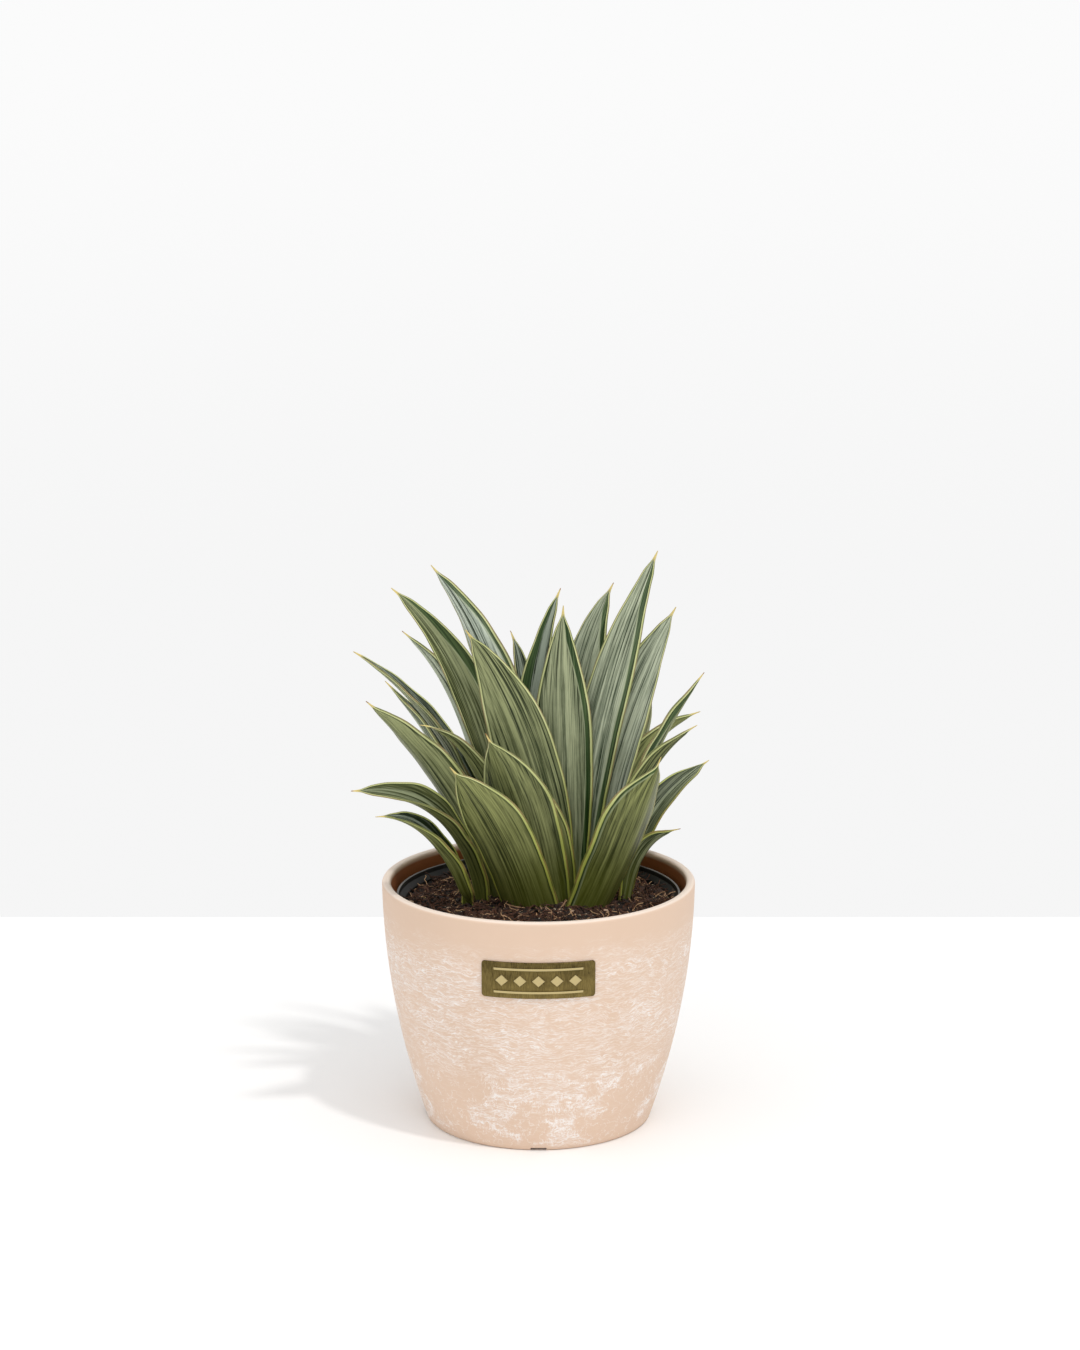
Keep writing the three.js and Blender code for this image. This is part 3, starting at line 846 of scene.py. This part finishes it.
def strewn(name, dark, light, rare, rough):
    """A finish for things strewn on the soil: each one has its own shade, and a few are pale."""
    material, nodes, shader = new_finish(name, Roughness=rough)
    shade = read(nodes, "shade")
    mottle = grain(place_in_mm(nodes), 1.3, 4.0, 0.6)
    mixed = mix((shade * 0.8 + mottle * 0.4 - 0.1).clamp(), dark, light)
    feed(
        shader,
        Base_Color=mix(shade.step(0.85, 0.9), mixed, rare),
        Normal=bumped(mottle, 0.0003, 0.7),
    )
    return material


coir = strewn("coir_fibre", colour(14, 8, 5), colour(108, 66, 42), colour(186, 148, 110), 0.7)
bark = strewn("bark_chip", colour(6, 4, 3), colour(84, 54, 37), colour(178, 150, 126), 0.8)
grit = strewn("white_grit", colour(120, 100, 70), colour(205, 195, 170), colour(214, 196, 96), 0.8)
print("soil finishes are ready")

# %% Fibres
STREWN_REACH = 0.0585


def scattered(nodes, size, seed):
    """Points over the top of the bed, each with its own number between 0 and 1 called shade."""
    normal = nodes.add("GeometryNodeInputNormal")
    place = nodes.add("GeometryNodeInputPosition")
    up = parts(normal)[2].step(0.2, 0.3)
    across, along = parts(place)[:2]
    reach = (across * across + along * along).math("SQRT")
    near = (size["Reach"] - reach).step(0.0, 0.001)
    inputs = {"Mesh": size["Geometry"], "Density": size["Density"] * up * near, "Seed": seed}
    points = nodes.add("GeometryNodeDistributePointsOnFaces", inputs=inputs)
    chance = nodes.add("FunctionNodeRandomValue", inputs={"Seed": seed + 1}, output=1)
    inputs = {"Geometry": points, "Name": "shade", "Value": chance}
    return nodes.add("GeometryNodeStoreNamedAttribute", {"domain": "POINT"}, inputs)


def random_between(nodes, low, high, seed):
    settings = {"data_type": "FLOAT_VECTOR"}
    return nodes.add("FunctionNodeRandomValue", settings, {0: low, 1: high, "Seed": seed})


def laid_out(nodes, points, thing, tilt, low, high, seed):
    """A copy of a thing on each point, tilted, turned and scaled by chance."""
    turn = random_between(nodes, (-tilt[0], -tilt[1], 0.0), (*tilt, 6.28), seed)
    scale = random_between(nodes, low, high, seed + 1)
    inputs = {"Points": points, "Instance": thing, "Rotation": turn, "Scale": scale}
    laid = nodes.add("GeometryNodeInstanceOnPoints", inputs=inputs)
    return nodes.add("GeometryNodeRealizeInstances", inputs={0: laid})


def shake(nodes, geometry, size, distance):
    """Move the points of a shape by smooth noise, to bend or dent it."""
    wander = grain(nodes.add("GeometryNodeInputPosition"), size, 1.0, output="Color")
    offset = wander.vector("SUBTRACT", (0.5, 0.5, 0.5)).vector("SCALE", distance)
    return nodes.add("GeometryNodeSetPosition", inputs={"Geometry": geometry, "Offset": offset})


def fibre_tree():
    """Curly fibres: a straight strand on each point, bent by noise and given a thin round body."""
    sizes = {"Density": 195000.0, "Reach": STREWN_REACH, "Length": 0.011, "Thickness": 0.00022}
    tree, nodes, size = new_tree("fibres", **sizes)
    points = scattered(nodes, size, 11)
    half = size["Length"] * 0.5
    inputs = {"Start": joined(0 - half, 0.0, 0.0), "End": joined(half, 0.0, 0.0)}
    strand = nodes.add("GeometryNodeCurvePrimitiveLine", inputs=inputs)
    strand = nodes.add("GeometryNodeResampleCurve", inputs={"Curve": strand, "Count": 11})
    short, long = (0.35, 0.35, 0.35), (1.3, 1.3, 1.3)
    laid = laid_out(nodes, points, strand, (0.2, 0.45), short, long, 12)
    bent = shake(nodes, laid, 160.0, 0.008)
    bent = shake(nodes, bent, 620.0, 0.0022)
    inputs = {"Resolution": 4, "Radius": size["Thickness"]}
    body = nodes.add("GeometryNodeCurvePrimitiveCircle", inputs=inputs)
    inputs = {"Curve": bent, "Profile Curve": body, "Fill Caps": True}
    solid = nodes.add("GeometryNodeCurveToMesh", inputs=inputs)
    inputs = {"Geometry": solid, "Offset": (0.0, 0.0, 0.0004)}
    lifted = nodes.add("GeometryNodeSetPosition", inputs=inputs)
    end_tree(nodes, lifted, coir)
    return tree


fibres = grown("coir_fibres", bed, fibre_tree())
smooth(fibres, 80)
print("fibres", len(fibres.data.polygons), "faces")

# %% Bark and grit
def crumb_tree(name, material, density, radius, flat, seed):
    """Lumps on the bed: a ball on each point, squashed, turned and dented by noise."""
    tree, nodes, size = new_tree(name, Density=density, Reach=STREWN_REACH, Radius=radius)
    points = scattered(nodes, size, seed)
    inputs = {"Radius": size["Radius"], "Subdivisions": 2}
    ball = nodes.add("GeometryNodeMeshIcoSphere", inputs=inputs)
    small, large = (0.6, 0.4, flat * 0.6), (2.4, 1.4, flat * 1.5)
    laid = laid_out(nodes, points, ball, (0.5, 0.5), small, large, seed + 2)
    dented = shake(nodes, laid, 900.0, radius * 1.5)
    end_tree(nodes, dented, material)
    return tree


chips = grown("bark_chips", bed, crumb_tree("chips", bark, 50000.0, 0.0013, 0.5, 21))
grains = grown("grit_grains", bed, crumb_tree("grains", grit, 26000.0, 0.00042, 0.8, 31))
smooth(chips, 40)
smooth(grains, 60)
place_piece(bed, "potting_soil", earth, "soil")
place_piece(fibres, "potting_soil", coir)
place_piece(chips, "potting_soil", bark)
place_piece(grains, "potting_soil", grit)

# %% [markdown]
# ## The leaves
# A snake plant's leaf is a stiff channel: thick along its keel, thin at its pale margins, and it
# ends in a small hard spine. The frame holds each leaf as a coarse closed shape of twelve rings.
# Walking down from the leaf's apex, ring by ring, gives its centre line, its width and the
# direction its channel opens to. Smooth curves through those make a much finer leaf in exactly
# the same place.

# %% Read a leaf's rings from its solid
RING_POINTS = 10


def rings_of(node):
    """The rings of a leaf's solid from its foot to its spine, and its apex, in millimetres."""
    bm = bmesh.new()
    bm.from_mesh(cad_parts[node].data)
    bmesh.ops.remove_doubles(bm, verts=bm.verts, dist=1e-6)
    far = max((v for v in bm.verts if len(v.link_edges) == RING_POINTS), key=tip_score)
    seen = {far}
    ring = [far]
    rings = []
    while ring:
        found = {e.other_vert(v) for v in ring for e in v.link_edges} - seen
        ring = sorted(found, key=lambda v: v.index)
        seen.update(ring)
        if ring:
            rings.append(np.array([v.co for v in ring]) / MM)
    apex = np.array(far.co) / MM
    bm.free()
    return rings[::-1], apex


def tip_score(vert):
    """The apex is the corner where ten thin triangles meet in a point, so its edges agree most."""
    spokes = [(e.other_vert(vert).co - vert.co).normalized() for e in vert.link_edges]
    return sum(spokes, Vector()).length


rings = rings_of(leaf_names[0])[0]
print(leaf_names[0], len(rings), "rings of", {len(r) for r in rings})

# %% Turn rings into a spine of stations
def stations_of(node):
    """For each ring: keel point, direction across to the right, rise of the margins, half width."""
    rings, apex = rings_of(node)
    centres = [ring.mean(axis=0) for ring in rings] + [apex]
    across = np.array([1.0, 0.0, 0.0])
    rows = []
    for k, ring in enumerate(rings):
        along = centres[k + 1] - centres[max(k - 1, 0)]
        along /= np.linalg.norm(along)
        offsets = ring - centres[k]
        flat = offsets - np.outer(offsets @ along, along)
        _, strengths, directions = np.linalg.svd(flat)
        carried = across - (across @ along) * along
        wide = directions[0] if strengths[0] > 1.8 * strengths[1] else carried
        across = wide * math.copysign(1, wide @ across) / np.linalg.norm(wide)
        middles = ring[np.argsort(ring @ across)].reshape(-1, 2, 3).mean(axis=1)
        reach = np.linalg.norm(middles[4] - middles[0]) / 2
        rise = (middles[0] + middles[4]) / 2 - middles[2]
        rows.append((middles[2], (middles[4] - middles[0]) / (2 * reach), rise, reach))
    return rows, apex


def smooth_through(knots, values, at):
    """A smooth curve through values at knots, read at new places."""
    slopes = np.gradient(values, knots, axis=0)
    i = np.clip(np.searchsorted(knots, at, side="right") - 1, 0, len(knots) - 2)
    span = (knots[i + 1] - knots[i])[:, None]
    t = (at - knots[i])[:, None] / span
    start = (2 * t**3 - 3 * t**2 + 1) * values[i] + (t**3 - 2 * t**2 + t) * span * slopes[i]
    end = (3 * t**2 - 2 * t**3) * values[i + 1] + (t**3 - t**2) * span * slopes[i + 1]
    return start + end


rows = stations_of(leaf_names[0])[0]
print(leaf_names[0], "half widths", [round(float(row[3]), 1) for row in rows])

# %% Loft a leaf
ALONG = 84
ACROSS = 25
BEAD = 4
LEAF_MIDDLE = 2.3
LEAF_MARGIN = 0.9


def leaf_lines(node):
    """The leaf's keel, side direction, face direction, half width and rise at fine steps."""
    rows, apex = stations_of(node)
    keels = np.array([row[0] for row in rows] + [apex])
    sides = np.array([row[1] for row in rows] + [rows[-1][1]])
    rises = np.array([row[2] for row in rows] + [rows[-1][2] * 0.2])
    halves = np.array([row[3] for row in rows] + [0.12])[:, None]
    knots = np.concatenate([[0], np.cumsum(np.linalg.norm(np.diff(keels, axis=0), axis=1))])
    at = knots[-1] * (1 - (1 - np.linspace(0, 1, ALONG)) ** 1.2)
    keel = smooth_through(knots, keels, at)
    side = smooth_through(knots, sides, at)
    rise = smooth_through(knots, rises, at)
    half = np.maximum(smooth_through(knots, halves, at), 0.1)
    left = (knots[-1] - at)[:, None]
    if half.max() > 6:  # a broad leaf is a little fuller just behind its tip
        half += 0.7 * np.clip((left - 5) / 5, 0, 1) * np.clip((26 - left) / 14, 0, 1)
    side /= np.linalg.norm(side, axis=1)[:, None]
    along = np.gradient(keel, at, axis=0)
    along /= np.linalg.norm(along, axis=1)[:, None]
    face = np.cross(side, along)
    face /= np.linalg.norm(face, axis=1)[:, None]
    face *= np.sign((face * rise).sum(axis=1).sum())
    return at, keel, side, face, (rise * face).sum(axis=1), half[:, 0]


def loft_leaf(node, number):
    """A closed leaf mesh with its pattern places stored on its points."""
    at, keel, side, face, lift, half = leaf_lines(node)
    u = np.sin(np.linspace(-0.5, 0.5, ACROSS) * math.pi)
    rng = np.random.default_rng(number + 5)
    wave = rng.uniform(0, 6.28, 3)
    bead = np.linspace(0, math.pi, BEAD + 2)[1:-1]
    places = np.concatenate([u, np.ones(BEAD), u[::-1], -np.ones(BEAD)])
    is_inner = np.concatenate([np.ones(ACROSS), bead < 1.5, np.zeros(ACROSS), bead > 1.5])
    points, stored = [], []
    for k in range(ALONG):
        share = at[k] / at[-1]
        thin = min(1.0, half[k] / 3.0)
        ripple = 0.35 * math.sin(at[k] * 0.13 + wave[0]) + 0.2 * math.sin(at[k] * 0.31 + wave[1])
        ripple *= thin * min(1.0, share * 4)
        rise = (lift[k] + ripple) * ((u**2 + 0.004) ** 0.75)
        thick = (LEAF_MIDDLE + (LEAF_MARGIN - LEAF_MIDDLE) * u**2) / 2
        thick = thick * (1 - 0.42 * share**3) * min(1.0, 0.12 + half[k] / 1.4)
        centre = keel[k] + np.outer(u * half[k], side[k]) + np.outer(rise, face[k])
        upper = centre + np.outer(thick, face[k])
        lower = centre - np.outer(thick, face[k])
        rim = np.outer(np.sin(bead), side[k]) + np.outer(np.cos(bead), face[k])
        right = centre[-1] + rim * thick[-1]
        left = centre[0] - rim * thick[-1]
        points.append(np.concatenate([upper, right, lower[::-1], left]))
        from_edge = (1 - np.abs(places)) * half[k]
        edge = from_edge / (0.3 + 0.05 * half[k])
        height = np.full(len(places), keel[k][2] - SOIL_TOP)
        from_tip = np.full(len(places), at[-1] - at[k])
        fields = [places, places * half[k], from_edge, edge, height, from_tip, is_inner]
        stored.append(np.stack(fields, axis=1))
    return weave(node, np.array(points) * MM, np.array(stored))


print("leaf detail", ALONG, "by", 2 * (ACROSS + BEAD))

# %% Close the loft and store where the patterns go
LEAF_FIELDS = ("across", "side", "from_edge", "edge", "height", "from_tip", "inner")


def weave(node, points, stored):
    """Faces between the rings, a flat foot, and a point at the tip."""
    rows, count = points.shape[:2]
    flat = points.reshape(-1, 3)
    tip = flat[-count:].mean(axis=0)
    tip_at = len(flat)
    faces = []
    for k in range(rows - 1):
        for i in range(count):
            j = (i + 1) % count
            faces.append((k * count + i, k * count + j, (k + 1) * count + j, (k + 1) * count + i))
    last = tip_at - count
    faces += [(last + i, last + (i + 1) % count, tip_at) for i in range(count)]
    faces.append(tuple(range(count))[::-1])
    leaf = plain_object(node.replace("leaf_", "blade_"), [*map(tuple, flat), tuple(tip)], faces)
    for column, field in enumerate(LEAF_FIELDS):
        values = np.append(stored[:, :, column].ravel(), stored[-1, :, column].mean())
        attribute = leaf.data.attributes.new(field, "FLOAT", "POINT")
        attribute.data.foreach_set("value", values.astype(np.float32))
    bm = bmesh.new()
    bm.from_mesh(leaf.data)
    bmesh.ops.recalc_face_normals(bm, faces=bm.faces)
    bm.to_mesh(leaf.data)
    bm.free()
    smooth(leaf, 70)
    return leaf


print("fields", LEAF_FIELDS)

# %% [markdown]
# ## Leaf green
# Seen close, the skin is grey-green with long stripes, some silvery and some nearly black-green,
# which run together towards the tip. A margin about a millimetre wide is pale yellow, with a
# dark line just inside it. The foot is yellower, and is painted as if light shone through it there;
# lower down every leaf is painted darker, as painted shade where the leaves crowd together. The tip
# is cream, and the hollow side of the channel is greener than the back and painted darker as shade.
# Leaves that catch the light are painted paler, a painted sheen over their silvery bloom. Every
# pattern is read from places stored on the leaf, so it follows the leaf's bend and narrows with it.

# %% Leaf finish
def leaf_stripes(across, side, height, shift):
    """Five patterns: lanes that run together at the tip, threads, hairs, dashes and faint bands."""
    lane = grain(joined(across * 5.5, height * 0.005, shift), 1.0, 2.0, 0.5)
    place = joined(side * 0.9 + across * 6.0, height * 0.012, shift + 50)
    thread = grain(place, 1.0, 2.0, 0.6)
    hair = grain(joined(side * 3.2, height * 0.07, shift + 90), 1.0, 1.0, 0.5)
    dash = grain(joined(side * 1.6, height * 0.05, shift + 130), 1.0, 3.0, 0.65)
    band = grain(joined(across * 2.5, height * 0.16, shift + 20), 1.0, 3.0, 0.65, 0.5)
    return lane, thread, hair, dash, band


def leaf_finish(name, number, silver_and_sheen, hollow, fold_side, fold_width):
    """One leaf's own finish.

    number shifts its stripes, silver makes it cooler and paler, as silvery bloom together with
    painted sheen, and hollow is how dark its hollow side is, as a greener colour together with
    painted shade.
    On fold_side, when that is not 0, the limb turns over and shows a deep green strip fold_width
    millimetres wide, which is painted shade as well as the hollow side's green.
    """
    material, nodes, shader = new_finish(name, IOR=1.4, Specular_IOR_Level=0.32)
    across, side, from_edge, edge, height, from_tip, inner = (read(nodes, f) for f in LEAF_FIELDS)
    lane, thread, hair, dash, band = leaf_stripes(across, side, height, number * 3.7)
    broad = lane.step(0.38, 0.64)
    fine = thread.step(0.36, 0.66)
    # Painted shade: the stripes are made darker lower down the leaf and paler higher up.
    lift = height.step(35.0, 140.0) * 0.24 - 0.34
    streaks = broad * 0.48 + fine * 0.4 + dash.step(0.42, 0.6) * 0.4
    pale = (streaks + hair * 0.25 + band * 0.3 - 0.06 + lift).clamp()
    deep = (thread.step(0.47, 0.37) * lane.step(0.6, 0.44)).clamp()
    # silver moves both colours towards a paler, cooler grey-green: silvery bloom together with
    # painted sheen.
    dark = colour(54 - 6 * silver_and_sheen, 60 + 4 * silver_and_sheen, 25 + 13 * silver_and_sheen)
    light = colour(144 + 31 * silver_and_sheen, 149 + 33 * silver_and_sheen, 92 + 62 * silver_and_sheen - 5 * silver_and_sheen**2)
    back = mix(pale, dark, light)
    back = mix(deep * 0.85, back, colour(28, 38, 14))
    # The hollow side is painted a greener colour than the back together with painted shade, dark
    # green towards its margins, and paler in the middle where its silvery stripes carry a painted
    # sheen.
    middle = across.math("ABSOLUTE").step(0.8, 0.2)
    glow = (pale * (middle * 0.7 + 0.5) * 1.7 - 0.5).clamp()
    front = mix(glow, colour(24, 38, 16), colour(150, 160, 144))
    body = mix(inner * hollow, back, front)
    # Painted shade: every leaf is darkened towards its foot, where the leaves crowd and shade each
    # other.
    body = mix(height.step(62.0, 5.0) * 0.25, body, colour(30, 36, 8))
    # The foot is yellower, and this yellow-green is also painted light shining through the leaf
    # there.
    body = mix(height.step(34.0, 2.0) * 0.5, body, colour(104, 112, 26))
    # The deep green strip is the turned limb's hollow side, painted with its greener colour and with
    # painted shade, since that limb faces away from the light.
    if fold_side:
        on_side = (across * fold_side).step(-0.02, 0.02)
        on_side = on_side * (1 - across.math("ABSOLUTE")).step(0.66, 0.58)
        strip = from_edge.step(fold_width + 0.25, fold_width - 0.15) * on_side
        crease = (from_edge - fold_width - 0.3).math("ABSOLUTE").step(0.45, 0.15) * on_side
        green = mix(fine * 0.8, colour(26, 54, 14), colour(84, 108, 62))
        body = mix(crease * 0.5, body, colour(168, 178, 140))
        body = mix(strip * 0.9, body, green)
    places = (across, edge, height, from_tip)
    return coat_leaf(material, shader, body, places, (thread, hair), number)


print("leaf stripes are ready")

# %% Margins, tip and gloss
def coat_leaf(material, shader, body, places, stripes, number):
    """Add the pale margin, the dark lines either side of it and the spine, and link it all up."""
    across, edge, height, from_tip = places
    thread, hair = stripes
    uneven = grain(joined(across * 2.0, height * 0.1, number * 3.7), 1.0, 3.0)
    width = edge + uneven * 0.6 - 0.3
    body = mix(width.step(2.0, 1.1) * 0.7, body, colour(36, 52, 14))
    lower = mix(uneven, colour(148, 158, 62), colour(192, 196, 96))
    upper = mix(uneven, colour(176, 184, 112), colour(226, 228, 176))
    cream = mix(height.step(10.0, 80.0), lower, upper)
    margin = width.step(1.0, 0.75)
    body = mix(margin, body, cream)
    brown = mix(uneven.step(0.4, 0.6), colour(58, 62, 26), colour(120, 84, 56))
    body = mix(edge.step(0.12, 0.0) * 0.7, body, brown)
    spine = (from_tip + uneven * 4.0).step(7.5, 5.0)
    body = mix(spine * 0.9, body, colour(222, 200, 128))
    burnt = (from_tip + uneven * 3.0).step(3.0, 2.0) * (0.2 + 0.7 * (number % 3 == 0))
    body = mix(burnt, body, colour(150, 100, 58))
    ribs = thread * 0.6 + hair * 0.4
    feed(
        shader,
        Base_Color=body,
        Roughness=0.34 + ribs * 0.2 + margin * 0.1,
        Normal=bumped(ribs, 0.0004, 0.5),
    )
    return material


print("leaf margins are ready")

# %% [markdown]
# ## Which limbs turn over
# Some leaves twist, so that from the front one limb shows the deep green of its hollow side as a
# strip beside the margin. That limb faces away from the light, so the strip is painted shade as well
# as the hollow side's own green. It is painted rather than bent: the strip is only two or three
# millimetres wide. 1 is the right limb and -1 the left.

# %% Make every leaf
TURNED_LIMBS = {
    "centre_upright": (1, 2.8),
    "centre_rear": (-1, 7.6),
    "right_rear_upright": (1, 2.2),
    "right_tallest": (1, 2.3),
    "left_tall": (1, 3.4),
    "left_rear_tall": (1, 1.6),
    "right_upper": (-1, 2.0),
    "front_right_broad": (-1, 1.2),
}
# How silvery each leaf is painted: its silvery bloom together with painted sheen on leaves that catch
# the light; other leaves take it from their height.
SILVER_AND_SHEEN = {
    "left_rear_tall": 2.2,
    "left_rear_upper": 1.6,
    "left_rear_middle": 1.2,
    "left_tall": 0.25,
    "centre_left_broad": 0.4,
    "centre_upright": 0.8,
    "right_rear_upright": 1.3,
    "right_tallest": 1.3,
    "right_tall": 1.4,
    "right_low": 0.8,
    "right_lowest": 0.7,
}
# How dark each leaf's hollow side is painted, 1 being darkest: a greener colour together with painted
# shade, less where that side catches the light.
HOLLOW = {"left_tall": 0.2, "right_low": 0.35, "left_arching": 0.45}
for number, node in enumerate(leaf_names):
    leaf = loft_leaf(node, number)
    name = node.removeprefix("leaf_")
    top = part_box(node)[1].z / MM
    silver_and_sheen = SILVER_AND_SHEEN.get(name, min(1.0, max(0.0, (top - 175) / 60)))
    hollow = HOLLOW.get(name, 1.0)
    turned_limb = TURNED_LIMBS.get(name, (0, 0.0))
    finish = leaf_finish(f"leaf_skin_{number}", number, silver_and_sheen, hollow, *turned_limb)
    place_piece(leaf, "leaf", finish, node)

# %% [markdown]
# ## The two boxes
# The box around the dressed model is printed beside the frame's own box.

# %% Print the two boxes
new_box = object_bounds()
sizes = {"cad": [list(corner) for corner in cad_box], "visual": [list(corner) for corner in new_box]}
for name, box in sizes.items():
    print(name, [[round(v / MM, 2) for v in corner] for corner in box])
